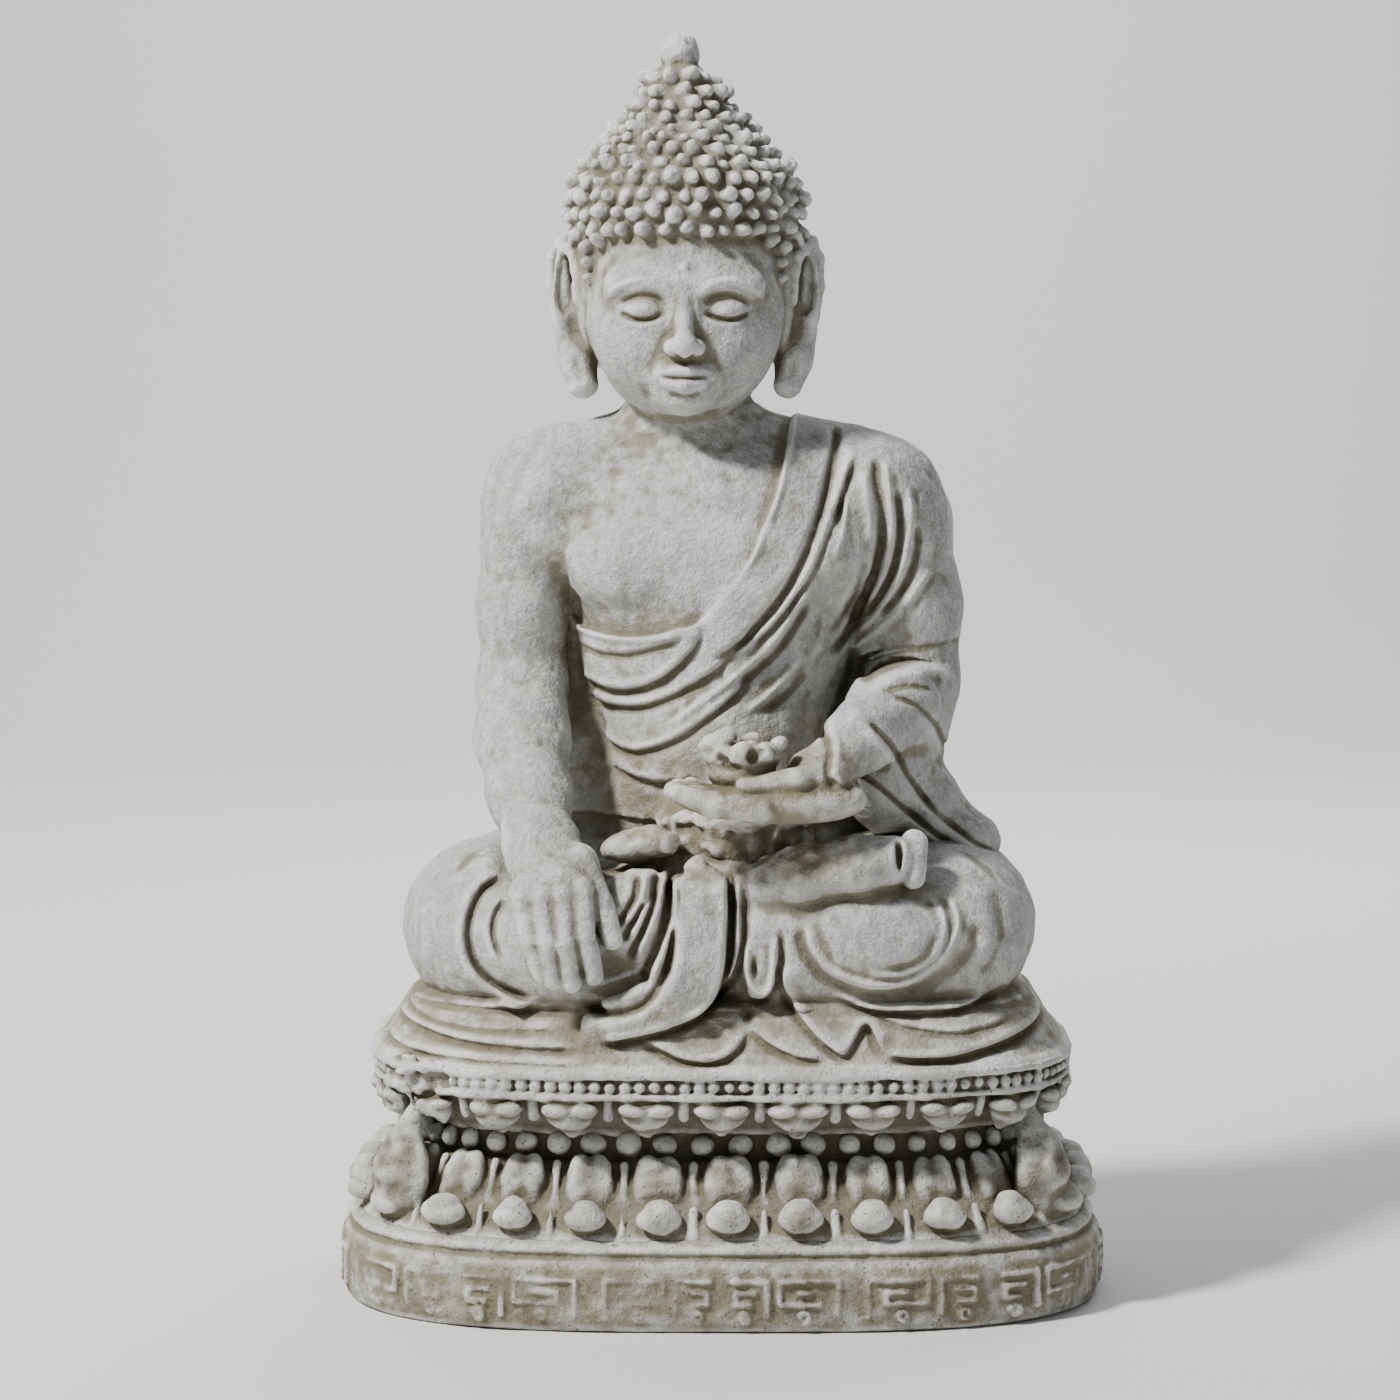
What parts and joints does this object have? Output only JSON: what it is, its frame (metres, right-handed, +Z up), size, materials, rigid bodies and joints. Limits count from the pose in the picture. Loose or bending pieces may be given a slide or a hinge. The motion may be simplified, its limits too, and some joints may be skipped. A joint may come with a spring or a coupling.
{
  "type": "seated garden figure",
  "caption": "Cast-stone seated figure with crossed legs, one hand reaching to the ground and one holding a small bowl, on a beaded double-lotus pedestal.",
  "frame": {"origin": "centre of the plinth's underside, which rests on the ground", "axes": "+Z up, the figure faces -Y, +X towards the figure's left hand"},
  "size_m": [0.3349, 0.2364, 0.547],
  "materials": {
    "cast_stone": "matt, weathered and lightly pitted",
    "reinforcing_steel": "dull mill surface"
  },
  "bodies": {
    "root": {"front_pleats": "cast_stone", "hair_cap": "cast_stone", "hair_curls": "cast_stone", "hanging_sleeve": "cast_stone", "head": "cast_stone", "left_arm_bar": "reinforcing_steel", "left_ear": "cast_stone", "left_forearm": "cast_stone", "left_hand": "cast_stone", "left_leg": "cast_stone", "left_upper_arm": "cast_stone", "lower_lotus_bed": "cast_stone", "lower_petal_ribs": "cast_stone", "lower_petals": "cast_stone", "neck": "cast_stone", "offering_bowl": "cast_stone", "plinth": "cast_stone", "plinth_frieze": "cast_stone", "plinth_hoop_bar": "reinforcing_steel", "plinth_step": "cast_stone", "right_arm_bar": "reinforcing_steel", "right_ear": "cast_stone", "right_foot": "cast_stone", "right_forearm": "cast_stone", "right_hand": "cast_stone", "right_leg": "cast_stone", "right_upper_arm": "cast_stone", "rim_bead_band": "cast_stone", "rim_beads": "cast_stone", "rim_lower_fillet": "cast_stone", "robe_skirt": "cast_stone", "seat_slab": "cast_stone", "shoulder_cloth": "cast_stone", "spine_bar": "reinforcing_steel", "topknot": "cast_stone", "topknot_curls": "cast_stone", "topknot_jewel": "cast_stone", "torso": "cast_stone", "upper_lotus_bed": "cast_stone", "upper_petal_pegs": "cast_stone", "upper_petals": "cast_stone", "waist_beads": "cast_stone", "waist_drum": "cast_stone", "waist_sash": "cast_stone"}
  },
  "joints": []
}
